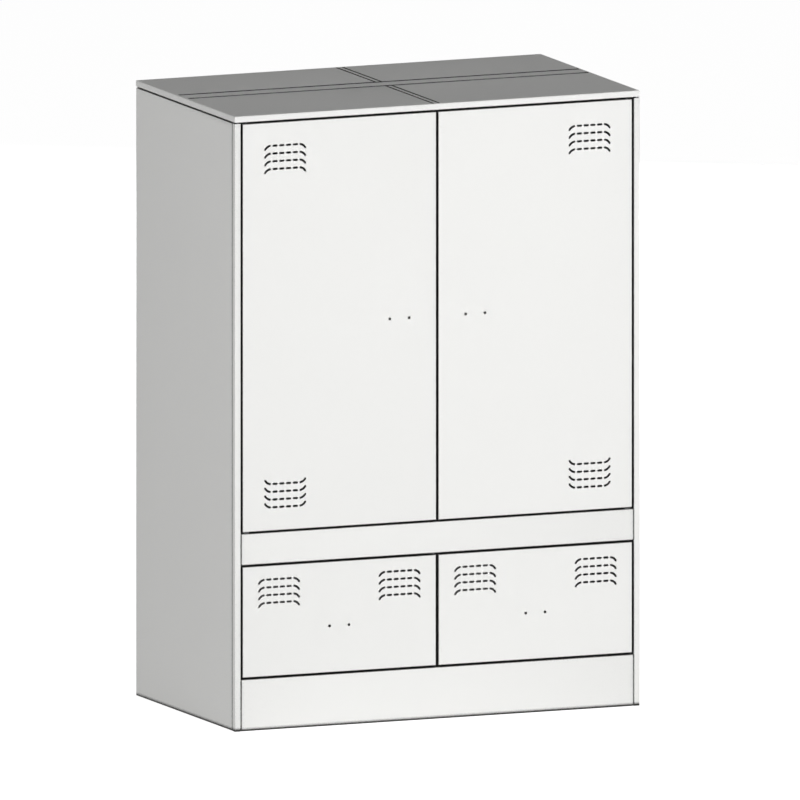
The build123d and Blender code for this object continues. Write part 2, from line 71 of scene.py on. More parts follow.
class CabinetSizes(bpy.types.PropertyGroup):
    """Sizes of the pressed and cut forms, which match the solid parts."""

    sheet: bpy.props.FloatProperty(
        name="Sheet", description="Thickness of the steel sheet", default=0.0008, unit="LENGTH")
    bend: bpy.props.FloatProperty(
        name="Bend radius", description="Outer radius of the folds", default=0.0016, unit="LENGTH")
    door_lip: bpy.props.FloatProperty(
        name="Door lip", description="Width of the lip turned in behind a door",
        default=0.012, unit="LENGTH")
    drawer_lip: bpy.props.FloatProperty(
        name="Drawer lip", description="Width of the lip turned in behind a drawer front",
        default=0.020, unit="LENGTH")
    slot_length: bpy.props.FloatProperty(
        name="Slot length", description="Length of a straight vent slot",
        default=0.0086, unit="LENGTH")
    slot_height: bpy.props.FloatProperty(
        name="Slot height", description="Height of a vent slot", default=0.0034, unit="LENGTH")
    slot_pitch: bpy.props.FloatProperty(
        name="Slot pitch", description="Distance from slot to slot", default=0.0112, unit="LENGTH")
    row_pitch: bpy.props.FloatProperty(
        name="Row pitch", description="Distance from row to row of slots",
        default=0.012, unit="LENGTH")
    slots: bpy.props.IntProperty(
        name="Slots", description="Straight slots in a row", default=4)
    rows: bpy.props.IntProperty(
        name="Rows", description="Rows of slots in a group", default=4)
    end_radius: bpy.props.FloatProperty(
        name="End radius", description="Radius of the curved slots", default=0.0106, unit="LENGTH")
    end_angle: bpy.props.FloatProperty(
        name="End angle", description="Angle that a curved slot turns through",
        default=math.radians(70), subtype="ANGLE")
    door_vent_inset: bpy.props.FloatProperty(
        name="Door vent inset", description="From a door's outer edge to the vents' middle",
        default=0.0705, unit="LENGTH")
    door_vent_margin: bpy.props.FloatProperty(
        name="Door vent margin", description="From a door's end to the nearest row",
        default=0.036, unit="LENGTH")
    drawer_vent_inset: bpy.props.FloatProperty(
        name="Drawer vent inset", description="From a drawer front's side to the vents' middle",
        default=0.0603, unit="LENGTH")
    drawer_vent_margin: bpy.props.FloatProperty(
        name="Drawer vent margin", description="From a drawer front's top to the first row",
        default=0.0214, unit="LENGTH")
    hole_radius: bpy.props.FloatProperty(
        name="Handle hole radius", description="Radius of a handle's screw hole",
        default=0.00225, unit="LENGTH")
    hole_spacing: bpy.props.FloatProperty(
        name="Handle hole spacing", description="Distance between a handle's screw holes",
        default=0.032, unit="LENGTH")
    door_hole_inset: bpy.props.FloatProperty(
        name="Door hole inset", description="From a door's free edge to the handle's middle",
        default=0.061, unit="LENGTH")
    drawer_hole_height: bpy.props.FloatProperty(
        name="Drawer hole height", description="From a drawer front's foot to the handle's holes",
        default=0.0717, unit="LENGTH")
    skirt_curl: bpy.props.FloatProperty(
        name="Skirt curl", description="Width of the lip under the lid's skirt",
        default=0.0022, unit="LENGTH")
    cross_width: bpy.props.FloatProperty(
        name="Cross channel width", description="Between the wide channel's two grooves",
        default=0.037, unit="LENGTH")
    cross_groove: bpy.props.FloatProperty(
        name="Cross groove", description="Width of the wide channel's two grooves",
        default=0.009, unit="LENGTH")
    cross_setback: bpy.props.FloatProperty(
        name="Cross channel setback",
        description="From the lid's front to the wide channel's middle",
        default=0.212, unit="LENGTH")
    long_width: bpy.props.FloatProperty(
        name="Long channel width", description="Between the narrow channel's two grooves",
        default=0.010, unit="LENGTH")
    long_groove: bpy.props.FloatProperty(
        name="Long groove", description="Width of the narrow channel's two grooves",
        default=0.0038, unit="LENGTH")
    groove_depth: bpy.props.FloatProperty(
        name="Groove depth", description="Depth of the grooves in the lid",
        default=0.002, unit="LENGTH")
    channel_margin: bpy.props.FloatProperty(
        name="Channel margin", description="From the lid's edge to a channel's end",
        default=0.004, unit="LENGTH")
    channel_slope: bpy.props.FloatProperty(
        name="Groove slope", description="Lean of a groove's wall from upright",
        default=math.radians(12), subtype="ANGLE")
    deburr: bpy.props.FloatProperty(
        name="Deburr", description="Rounding of the sheet's cut edges",
        default=0.00035, unit="LENGTH")
    shadow_gap: bpy.props.FloatProperty(
        name="Shadow gap", description="How far a seam's edge stands back from its neighbour",
        default=0.0015, unit="LENGTH")
    screw_radius: bpy.props.FloatProperty(
        name="Screw head radius", description="Radius of a pan-head screw's head",
        default=0.0034, unit="LENGTH")


class CabinetColours(bpy.types.PropertyGroup):
    """Colours, as sRGB hex values."""

    powder: bpy.props.StringProperty(
        name="Powder coat", description="White powder coat", default="F1F1EF")
    zinc: bpy.props.StringProperty(
        name="Zinc", description="Zinc-plated steel", default="C3C6C8")
    nickel: bpy.props.StringProperty(
        name="Nickel", description="Nickel-plated screws", default="CFCDC6")
    nylon: bpy.props.StringProperty(
        name="Nylon", description="Black nylon", default="2C2D2F")
    rubber: bpy.props.StringProperty(
        name="Rubber", description="Black rubber", default="262626")
    ferrite: bpy.props.StringProperty(
        name="Ferrite", description="Ferrite magnet", default="34353A")
    # Colour of the painted shade in the gaps, seams and creases
    painted_shade: bpy.props.StringProperty(
        name="Painted seam shade", description="Painted shade in the gaps and seams", default="2B2A29")
    pin: bpy.props.StringProperty(
        name="Pins", description="Blackened steel pins", default="3A3B3D")
    studio: bpy.props.StringProperty(
        name="Studio", description="Floor of the studio", default="F4F4F4")


def sizes():
    """Return the sizes in use."""
    return bpy.context.scene.cabinet_sizes


def colours():
    """Return the colours in use."""
    return bpy.context.scene.cabinet_colours


# Materials

def linear(text):
    """Turn an sRGB hex value into a linear colour."""
    channels = [int(text[i:i + 2], 16) / 255 for i in (0, 2, 4)]
    turned = [c / 12.92 if c <= 0.04045 else ((c + 0.055) / 1.055) ** 2.4 for c in channels]
    return (*turned, 1.0)


def shade(text, amount):
    """Return a linear colour made lighter or darker."""
    return tuple(min(1.0, c * amount) for c in linear(text)[:3]) + (1.0,)


def add_node(tree, kind, values=None, links=None, **settings):
    """Add a node, with its settings, its input values and the links into it."""
    node = tree.nodes.new(kind)
    for name, value in settings.items():
        setattr(node, name, value)
    for name, value in (values or {}).items():
        node.inputs[name].default_value = value
    for name, socket in (links or {}).items():
        tree.links.new(socket, node.inputs[name])
    return node


def new_material(name, make_shader, colour):
    """Make a material from the function that returns its shader."""
    material = bpy.data.materials.new(name)
    material.use_nodes = True
    tree = material.node_tree
    tree.nodes.clear()
    place = add_node(tree, "ShaderNodeTexCoord").outputs["Object"]
    shader = make_shader(tree, place, colour)
    add_node(tree, "ShaderNodeOutputMaterial", links={"Surface": shader.outputs[0]})
    return material


def per_mm(size_mm):
    """Return the noise scale whose grain is about so many millimetres."""
    return 1000.0 / size_mm


def painted_seam_shade(tree, clean, colour, probes):
    """Darken a colour where surfaces lie close together, as painted shade in gaps and seams.

    Each probe is its reach in millimetres, the open share of the sky at which the painted shade
    is full, and the share at which it ends.
    """
    layer = clean
    for reach_mm, full_shade_at, no_shade_at in probes:
        # Painted shade: the less open sky the ambient occlusion finds, the more of the shade
        # colour is mixed in
        open_sky = add_node(tree, "ShaderNodeAmbientOcclusion", {"Distance": reach_mm / 1000.0},
                            samples=6)
        share = add_node(tree, "ShaderNodeMapRange",
                         {"From Min": full_shade_at, "From Max": no_shade_at, "To Min": 1.0, "To Max": 0.0},
                         {"Value": open_sky.outputs["AO"]})
        shaded = add_node(tree, "ShaderNodeMix", {"B": linear(colour)},
                         {"Factor": share.outputs["Result"], "A": layer}, data_type="RGBA")
        layer = shaded.outputs["Result"]
    return layer


# Painted shade probes: gaps with what lies behind them, and the finer seams of the outside
GAPS_AND_SEAMS = ((7.0, 0.2, 0.8), (3.0, 0.55, 0.97))
OUTER_SEAMS = ((7.0, 0.6, 0.97), (4.0, 0.85, 0.995))


def outer_coat(tree, place, colour):
    """The white powder coat of the outer parts, whose gaps and seams get stronger painted shade.

    Eye: the same white skin, with lines of painted shade round the fronts and along the seams.
    """
    return powder_coat(tree, place, colour, OUTER_SEAMS)


def powder_coat(tree, place, colour, shade_probes=GAPS_AND_SEAMS):
    """White polyester powder coat, baked on steel.

    Eye: a half-gloss white skin with a faint orange peel, a little uneven in gloss, and dark
    with painted shade in the gaps and seams.
    """
    # Orange peel of about 2.5 mm, drawn a little coarser than the real 1 to 2 mm so it shows
    peel = add_node(tree, "ShaderNodeTexNoise", {"Scale": per_mm(2.5), "Detail": 2.0,
                                                 "Roughness": 0.4}, {"Vector": place})
    bump = add_node(tree, "ShaderNodeBump", {"Strength": 0.25, "Distance": 0.00012},
                    {"Height": peel.outputs["Fac"]})
    # Film thickness drifts over about 120 mm
    drift = add_node(tree, "ShaderNodeTexNoise", {"Scale": per_mm(120), "Detail": 3.0},
                     {"Vector": place})
    tint = add_node(tree, "ShaderNodeMix", {"A": shade(colour, 0.985), "B": shade(colour, 1.0)},
                    {"Factor": drift.outputs["Fac"]}, data_type="RGBA")
    gloss = add_node(tree, "ShaderNodeMapRange", {"To Min": 0.58, "To Max": 0.66},
                     {"Value": drift.outputs["Fac"]})
    # Painted shade: darker where surfaces lie close together, in the gaps, seams and creases
    shaded = painted_seam_shade(tree, tint.outputs["Result"], colours().painted_shade, shade_probes)
    return add_node(tree, "ShaderNodeBsdfPrincipled",
                    {"IOR": 1.5, "Specular IOR Level": 0.25},
                    {"Base Color": shaded, "Roughness": gloss.outputs["Result"],
                     "Normal": bump.outputs["Normal"]})


def zinc_plate(tree, place, colour):
    """Bright zinc plate on cold-rolled strip.

    Eye: a cool grey metal with fine rolling lines and a blotchy sheen.
    """
    stretch = add_node(tree, "ShaderNodeMapping", {"Scale": (1.0, 0.04, 1.0)}, {"Vector": place})
    # Rolling lines about 0.6 mm apart
    lines = add_node(tree, "ShaderNodeTexNoise", {"Scale": per_mm(0.6), "Detail": 3.0},
                     {"Vector": stretch.outputs["Vector"]})
    # Zinc's blotches, about 18 mm across
    blotch = add_node(tree, "ShaderNodeTexNoise", {"Scale": per_mm(18), "Detail": 4.0},
                      {"Vector": place})
    tint = add_node(tree, "ShaderNodeMix", {"A": shade(colour, 0.86), "B": shade(colour, 1.0)},
                    {"Factor": blotch.outputs["Fac"]}, data_type="RGBA")
    gloss = add_node(tree, "ShaderNodeMapRange", {"To Min": 0.28, "To Max": 0.48},
                     {"Value": blotch.outputs["Fac"]})
    bump = add_node(tree, "ShaderNodeBump", {"Strength": 0.2, "Distance": 0.00003},
                    {"Height": lines.outputs["Fac"]})
    return add_node(tree, "ShaderNodeBsdfPrincipled", {"Metallic": 1.0},
                    {"Base Color": tint.outputs["Result"], "Roughness": gloss.outputs["Result"],
                     "Normal": bump.outputs["Normal"]})


def marked_metal(tree, place, colour, mark_mm, detail, tones, gloss_ends):
    """Plated or oiled steel, whose tone and gloss change from mark to mark."""
    marks = add_node(tree, "ShaderNodeTexNoise", {"Scale": per_mm(mark_mm), "Detail": detail},
                     {"Vector": place})
    dark, bright = [shade(colour, tone) for tone in tones]
    tint = add_node(tree, "ShaderNodeMix", {"A": dark, "B": bright},
                    {"Factor": marks.outputs["Fac"]}, data_type="RGBA")
    smoothest, roughest = gloss_ends
    gloss = add_node(tree, "ShaderNodeMapRange", {"To Min": smoothest, "To Max": roughest},
                     {"Value": marks.outputs["Fac"]})
    return add_node(tree, "ShaderNodeBsdfPrincipled", {"Metallic": 1.0},
                    {"Base Color": tint.outputs["Result"],
                     "Roughness": gloss.outputs["Result"]})


def nickel_plate(tree, place, colour):
    """Nickel-plated screw steel.

    Eye: a warm bright metal with faint handling marks, about 0.8 mm across.
    """
    return marked_metal(tree, place, colour, mark_mm=0.8, detail=4.0, tones=(0.9, 1.0),
                        gloss_ends=(0.18, 0.34))


def blackened_steel(tree, place, colour):
    """Turned steel pins, black oxide finished and oiled.

    Eye: a nearly black metal with a soft oily sheen, in patches about 1.2 mm across.
    """
    return marked_metal(tree, place, colour, mark_mm=1.2, detail=3.0, tones=(0.8, 1.1),
                        gloss_ends=(0.32, 0.45))


def moulded_nylon(tree, place, colour):
    """Black nylon, injection moulded.

    Eye: a deep grey with soft edges, a satin sheen and a fine spark-eroded grain.
    """
    # Grain of 0.5 mm, coarser than the real 0.1 mm so it shows, and clouds of about 7 mm
    grain = add_node(tree, "ShaderNodeTexNoise", {"Scale": per_mm(0.5), "Detail": 2.0},
                     {"Vector": place})
    cloud = add_node(tree, "ShaderNodeTexNoise", {"Scale": per_mm(7), "Detail": 2.0},
                     {"Vector": place})
    tint = add_node(tree, "ShaderNodeMix", {"A": shade(colour, 0.93), "B": shade(colour, 1.0)},
                    {"Factor": cloud.outputs["Fac"]}, data_type="RGBA")
    bump = add_node(tree, "ShaderNodeBump", {"Strength": 0.3, "Distance": 0.00004},
                    {"Height": grain.outputs["Fac"]})
    return add_node(tree, "ShaderNodeBsdfPrincipled",
                    {"Roughness": 0.45, "IOR": 1.53},
                    {"Base Color": tint.outputs["Result"], "Normal": bump.outputs["Normal"]})


def moulded_rubber(tree, place, colour):
    """Black rubber, moulded.

    Eye: a dull black with a dusty bloom.
    """
    # Bloom in patches of about 3 mm
    bloom = add_node(tree, "ShaderNodeTexNoise", {"Scale": per_mm(3), "Detail": 5.0},
                     {"Vector": place})
    tint = add_node(tree, "ShaderNodeMix", {"A": shade(colour, 0.8), "B": shade(colour, 1.6)},
                    {"Factor": bloom.outputs["Fac"]}, data_type="RGBA")
    bump = add_node(tree, "ShaderNodeBump", {"Strength": 0.3, "Distance": 0.00005},
                    {"Height": bloom.outputs["Fac"]})
    return add_node(tree, "ShaderNodeBsdfPrincipled", {"Roughness": 0.78, "IOR": 1.52},
                    {"Base Color": tint.outputs["Result"], "Normal": bump.outputs["Normal"]})


def sintered_ferrite(tree, place, colour):
    """Ferrite, pressed and sintered.

    Eye: a matt dark grey ceramic with a fine pitted grain.
    """
    # Pits of 0.7 mm, coarser than the real 0.1 mm so they show
    pits = add_node(tree, "ShaderNodeTexVoronoi", {"Scale": per_mm(0.7)}, {"Vector": place})
    tint = add_node(tree, "ShaderNodeMix", {"A": shade(colour, 0.75), "B": shade(colour, 1.1)},
                    {"Factor": pits.outputs["Distance"]}, data_type="RGBA")
    bump = add_node(tree, "ShaderNodeBump", {"Strength": 0.35, "Distance": 0.00005},
                    {"Height": pits.outputs["Distance"]})
    return add_node(tree, "ShaderNodeBsdfPrincipled", {"Roughness": 0.62, "IOR": 1.6},
                    {"Base Color": tint.outputs["Result"], "Normal": bump.outputs["Normal"]})


# Each slot's material, the function that gives its shader, and its colour's property
FINISHES = {
    "white_enamel": ("white powder coat on steel", powder_coat, "powder"),
    "outer_enamel": ("white powder coat on the outer parts", outer_coat, "powder"),
    "zinc_steel": ("zinc-plated steel", zinc_plate, "zinc"),
    "screw_steel": ("nickel-plated steel", nickel_plate, "nickel"),
    "pin_steel": ("black oxide steel", blackened_steel, "pin"),
    "nylon": ("black nylon", moulded_nylon, "nylon"),
    "rubber": ("black rubber", moulded_rubber, "rubber"),
    "magnet": ("sintered ferrite", sintered_ferrite, "ferrite"),
}


def finish(slot):
    """Return the material of a slot, made on its first use."""
    name, make_shader, colour = FINISHES[slot]
    made = bpy.data.materials.get(name)
    return made or new_material(name, make_shader, getattr(colours(), colour))


def dress(piece, slot):
    """Give a piece the material of a slot."""
    if not piece.material_slots:
        piece.data.materials.append(None)
    for holder in piece.material_slots:
        holder.material = finish(slot)


# Modelling, as by hand

def deselect():
    """Leave edit mode and deselect every object."""
    if bpy.context.mode != "OBJECT":
        bpy.ops.object.mode_set(mode="OBJECT")
    bpy.ops.object.select_all(action="DESELECT")


def take(piece):
    """Make a piece the only selected object, and the active one."""
    deselect()
    piece.select_set(True)
    bpy.context.view_layer.objects.active = piece


def corners(node):
    """Return the lowest and the highest corner of a solid part."""
    low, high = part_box(node)
    return Vector(low), Vector(high)


def start_box(name, low, high):
    """Add a box between two corners."""
    deselect()
    bpy.ops.mesh.primitive_cube_add(size=1.0, location=(Vector(low) + Vector(high)) / 2)
    piece = bpy.context.object
    piece.name = name
    piece.scale = Vector(high) - Vector(low)
    bpy.ops.object.transform_apply(location=True, rotation=True, scale=True)
    return piece


def start_post(name, foot, radius, height, sides=24, along="Z"):
    """Add a round post from the middle of its foot, along Z, or along -Y."""
    deselect()
    bpy.ops.mesh.primitive_cylinder_add(vertices=sides, radius=radius, depth=height,
                                        location=(0, 0, height / 2))
    piece = bpy.context.object
    piece.name = name
    bpy.ops.object.transform_apply(location=True, rotation=True, scale=True)
    turn = Matrix.Rotation(math.pi / 2, 4, "X") if along == "-Y" else Matrix.Identity(4)
    piece.data.transform(Matrix.Translation(foot) @ turn)
    return piece


def pick(piece, test, kind="faces"):
    """In edit mode, select the faces or edges that pass a test."""
    take(piece)
    bpy.ops.object.mode_set(mode="EDIT")
    bpy.ops.mesh.select_mode(type="FACE" if kind == "faces" else "EDGE")
    bpy.ops.mesh.select_all(action="DESELECT")
    cage = bmesh.from_edit_mesh(piece.data)
    cage.normal_update()
    for part in getattr(cage, kind):
        if test(part):
            part.select_set(True)
    bmesh.update_edit_mesh(piece.data)


def done(piece):
    """Leave edit mode."""
    bpy.ops.object.mode_set(mode="OBJECT")
    return piece


def rounded(piece, test, radius, segments):
    """Round the edges that pass a test."""
    pick(piece, test, "edges")
    bpy.ops.mesh.bevel(offset=radius, segments=segments, affect="EDGES")
    return done(piece)


def moved(piece, test, way):
    """Move the faces that pass a test."""
    pick(piece, test)
    bpy.ops.transform.translate(value=way)
    return done(piece)


def middle(part):
    """Return the middle of a face or an edge."""
    if isinstance(part, bmesh.types.BMFace):
        return part.calc_center_median()
    return (part.verts[0].co + part.verts[1].co) / 2


def runs_along(edge, axis):
    """True where an edge runs along the axis."""
    run = edge.verts[1].co - edge.verts[0].co
    return run.length > 0 and abs(run.normalized()["XYZ".index(axis)]) > 0.99


def is_corner(edge, least=0.6):
    """True where an edge's two faces meet at more than an angle, in radians."""
    return len(edge.link_faces) == 2 and edge.calc_face_angle(0) > least


def apply_modifier(piece, kind, **settings):
    """Add a modifier to a piece and apply it."""
    take(piece)
    modifier = piece.modifiers.new(kind.title(), kind)
    for name, value in settings.items():
        setattr(modifier, name, value)
    bpy.ops.object.modifier_apply(modifier=modifier.name)


def merge(piece):
    """Merge doubles and turn every face outwards."""
    pick(piece, lambda part: True)
    bpy.ops.mesh.remove_doubles(threshold=0.00001)
    bpy.ops.mesh.select_all(action="SELECT")
    bpy.ops.mesh.normals_make_consistent(inside=False)
    return done(piece)


def smooth(piece, angle=30):
    """Shade a piece smooth, apart from its corners."""
    take(piece)
    bpy.ops.object.shade_smooth_by_angle(angle=math.radians(angle))


def copied(piece, name, matrix):
    """Return a copy of a piece, with its own mesh, moved by a matrix."""
    twin = piece.copy()
    twin.data = piece.data.copy()
    twin.name = name
    bpy.context.scene.collection.objects.link(twin)
    twin.data.transform(matrix)
    if matrix.is_negative:
        merge(twin)
    return twin


def mirrored(piece, name, axis="X", at=0.0):
    """Return a mirror image of a piece about a plane across an axis."""
    line = "XYZ".index(axis)
    scale = [1.0, 1.0, 1.0]
    scale[line] = -1.0
    shift = [0.0, 0.0, 0.0]
    shift[line] = 2 * at
    return copied(piece, name, Matrix.Translation(shift) @ Matrix.Diagonal((*scale, 1.0)))


def joined(pieces, name):
    """Join pieces into one."""
    deselect()
    for piece in pieces:
        piece.select_set(True)
    bpy.context.view_layer.objects.active = pieces[0]
    bpy.ops.object.join()
    pieces[0].name = name
    return pieces[0]


def cut(piece, cutter):
    """Cut one shape out of a piece."""
    apply_modifier(piece, "BOOLEAN", operation="DIFFERENCE", solver="EXACT", use_self=True,
                   object=cutter)
    bpy.data.objects.remove(cutter)


def hand_over(piece, body, slot, *nodes, coat=None):
    """Give a finished piece its finish and its body, and the nodes that it stands for."""
    dress(piece, coat or slot)
    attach(piece, body)
    if nodes:
        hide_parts(*nodes)


def hand_over_outer(piece, body, node):
    """Hand over a piece of the outside, in the coat with stronger painted shade in its seams."""
    hand_over(piece, body, "white_enamel", node, coat="outer_enamel")


# Vents and folded fronts

# Rounding of a slot's ends, as a share of half its height
STRAIGHT_END, CURVED_END = 0.98, 0.9


def vent_cutter(name, x, z, y_low, y_high):
    """Make the cutter of a vent group whose curved slots turn down; z is its top row."""
    s = sizes()
    flat_half = (s.slots - 1) * s.slot_pitch / 2 + s.slot_length / 2
    half = s.slot_height / 2
    left = x - flat_half
    straight = start_box(name, (left, y_low, z - half), (left + s.slot_length, y_high, z + half))
    rounded(straight, lambda edge: runs_along(edge, "Y"), half * STRAIGHT_END, 5)
    apply_modifier(straight, "ARRAY", count=s.slots, use_relative_offset=False,
                   use_constant_offset=True, constant_offset_displace=(s.slot_pitch, 0, 0))

    start = x + flat_half + s.slot_pitch - s.slot_length
    depth = y_high - y_low
    deselect()
    bpy.ops.mesh.primitive_plane_add(size=1.0, location=(start, y_low + depth / 2, z),
                                     rotation=(0, math.pi / 2, 0))
    curve = bpy.context.object
    curve.scale = (s.slot_height, depth, 1.0)
    bpy.ops.object.transform_apply(location=True, rotation=True, scale=True)
    pick(curve, lambda part: True)
    bpy.ops.mesh.delete(type="ONLY_FACE")
    bpy.ops.mesh.select_all(action="SELECT")
    bpy.ops.mesh.spin(steps=10, angle=-s.end_angle, center=(start, y_low, z - s.end_radius),
                      axis=(0, 1, 0))
    bpy.ops.mesh.select_all(action="SELECT")
    bpy.ops.mesh.fill_holes(sides=4)
    done(curve)
    merge(curve)
    rounded(curve, lambda edge: runs_along(edge, "Y") and is_corner(edge),
            half * CURVED_END, 4)
    other = mirrored(curve, name + "_other", "X", x)
    group = joined([straight, curve, other], name)
    apply_modifier(group, "ARRAY", count=s.rows, use_relative_offset=False,
                   use_constant_offset=True, constant_offset_displace=(0, 0, -s.row_pitch))
    return group


def hole_cutters(x, z, y_low, y_high):
    """Make the cutters of a handle's two holes."""
    s = sizes()
    return [start_post("hole", (x + side * s.hole_spacing / 2, y_high, z), s.hole_radius,
                       y_high - y_low, 32, "-Y") for side in (-1, 1)]


def folded_pan(name, low, high, lip):
    """Fold a front from sheet: a skin, four returns and a lip turned in all round."""
    s = sizes()
    pan = start_box(name, low, high)
    rounded(pan, lambda edge: abs(middle(edge).y - low.y) < NEAR, s.bend, 6)
    pick(pan, lambda face: abs(middle(face).y - high.y) < NEAR)
    bpy.ops.mesh.inset(thickness=lip)
    bpy.ops.mesh.delete(type="FACE")
    done(pan)
    apply_modifier(pan, "SOLIDIFY", thickness=s.sheet, offset=-1.0, use_even_offset=True)
    return pan


def cut_front(pan, low, groups, hole_x, hole_z):
    """Cut a front's vents and its handle holes.

    A vent group is its x, the height of its outer row, and the way its curved slots turn.
    """
    s = sizes()
    reach = s.sheet * 3
    near, far = low.y - reach, low.y + reach
    cutters = hole_cutters(hole_x, hole_z, near, far)
    for x, outer_row, turn in groups:
        group = vent_cutter("vents", x, outer_row, near, far)
        if turn == "up":
            flipped = mirrored(group, "vents_up", "Z", outer_row)
            bpy.data.objects.remove(group)
            group = flipped
        cutters.append(group)
    cut(pan, joined(cutters, "cutter"))


class CABINET_OT_door_fronts(bpy.types.Operator):
    """Fold the two doors, with their vents and handle holes."""

    bl_idname = "cabinet.door_fronts"
    bl_label = "Door fronts"

    def execute(self, context):
        s = sizes()
        low, high = corners("left_door_pan")
        left = folded_pan("left_door_front", low, high, s.door_lip)
        vent_x = low.x + s.door_vent_inset
        groups = ((vent_x, high.z - s.door_vent_margin, "down"),
                  (vent_x, low.z + s.door_vent_margin, "up"))
        cut_front(left, low, groups, high.x - s.door_hole_inset, (low.z + high.z) / 2)
        right = mirrored(left, "right_door_front")
        for piece, side in ((left, "left"), (right, "right")):
            smooth(piece)
            hand_over_outer(piece, f"{side}_door", f"{side}_door_pan")
        return {"FINISHED"}


class CABINET_OT_drawer_fronts(bpy.types.Operator):
    """Fold the two drawer fronts, with their vents and handle holes."""

    bl_idname = "cabinet.drawer_fronts"
    bl_label = "Drawer fronts"

    def execute(self, context):
        s = sizes()
        low, high = corners("left_drawer_front")
        left = folded_pan("left_drawer_face", low, high, s.drawer_lip)
        row = high.z - s.drawer_vent_margin
        groups = ((low.x + s.drawer_vent_inset, row, "down"),
                  (high.x - s.drawer_vent_inset, row, "down"))
        cut_front(left, low, groups, (low.x + high.x) / 2, low.z + s.drawer_hole_height)
        right = mirrored(left, "right_drawer_face")
        for piece, side in ((left, "left"), (right, "right")):
            smooth(piece)
            hand_over_outer(piece, f"{side}_drawer", f"{side}_drawer_front")
        return {"FINISHED"}


# Rounding of the grooves' top edges
GROOVE_EDGE = 0.0002


class CABINET_OT_lid(bpy.types.Operator):
    """Press the lid: a low tray upside down, with a groove along each side of two channels."""

    bl_idname = "cabinet.lid"
    bl_label = "Lid"

    def execute(self, context):
        s = sizes()
        low, high = corners("top_panel")
        end_x = high.x - s.channel_margin
        start_y, end_y = low.y + s.channel_margin, high.y - s.channel_margin
        lid = start_box("lid", low, high)
        self.press_grooves(lid, low, high, end_x, start_y, end_y)
        pick(lid, lambda face: middle(face).z < low.z + NEAR)
        bpy.ops.mesh.inset(thickness=s.skirt_curl)
        bpy.ops.mesh.delete(type="FACE")
        done(lid)
        apply_modifier(lid, "SOLIDIFY", thickness=s.sheet, offset=-1.0, use_even_offset=True)

        def outer_fold(edge):
            spot = middle(edge)
            return (is_corner(edge, least=1.2) and not runs_along(edge, "Z")
                    and (abs(spot.x) > high.x - NEAR or abs(spot.y) > high.y - NEAR))

        def groove_edge(edge):
            spot = middle(edge)
            return (is_corner(edge, least=0.5) and spot.z > high.z - NEAR
                    and abs(spot.x) < end_x + SLACK
                    and start_y - SLACK < spot.y < end_y + SLACK)

        rounded(lid, outer_fold, s.bend, 6)
        rounded(lid, groove_edge, GROOVE_EDGE, 2)
        smooth(lid, 25)
        hand_over_outer(lid, "cabinet", "top_panel")
        return {"FINISHED"}

    def press_grooves(self, lid, low, high, end_x, start_y, end_y):
        """Press the grooves; those of the narrow channel stop at the wide one."""
        s = sizes()
        cross_y = low.y + s.cross_setback
        near, far = cross_y - s.cross_width / 2, cross_y + s.cross_width / 2
        half, side = s.long_width / 2, s.long_groove / 2
        rim = s.cross_groove / 2
        across = (-end_x, -half - side, -half + side, half - side, half + side, end_x)
        along = (start_y, near - rim, near + rim, far - rim, far + rim, end_y)
        for normal, places in (((1, 0, 0), across), ((0, 1, 0), along)):
            for place in places:
                pick(lid, lambda face: True)
                bpy.ops.mesh.bisect(plane_co=Vector(normal) * place, plane_no=normal)

        def in_groove(face):
            spot = middle(face)
            x, y = abs(spot.x), spot.y
            if spot.z < high.z - NEAR or x > end_x or not start_y < y < end_y:
                return False
            if near - rim < y < far + rim:
                return min(abs(y - near), abs(y - far)) < rim
            return abs(x - half) < side

        pick(lid, in_groove)
        slope = s.groove_depth * math.tan(s.channel_slope)
        bpy.ops.mesh.inset(thickness=slope, depth=-s.groove_depth)
        done(lid)


# Small moulded and pressed pieces, softened from their plain solids

def softened(node, name, width, segments=3):
    """Return a copy of a node's mesh with its doubles merged and its corners rounded."""
    piece = copied(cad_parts[node], name, Matrix.Identity(4))
    piece.parent = None
    for key in list(piece.keys()):
        del piece[key]
    merge(piece)
    pick(piece, lambda face: True)
    bpy.ops.mesh.dissolve_limited(angle_limit=math.radians(1))
    done(piece)
    apply_modifier(piece, "BEVEL", width=width, segments=segments, limit_method="ANGLE",
                   angle_limit=math.radians(40))
    smooth(piece)
    return piece


# Width of a post's turned edge, seen from the side
POST_WRAP = 0.0113
# A strap's length, and the air between it and its rail
STRAP_LENGTH = 0.009
STRAP_AIR = 0.00005


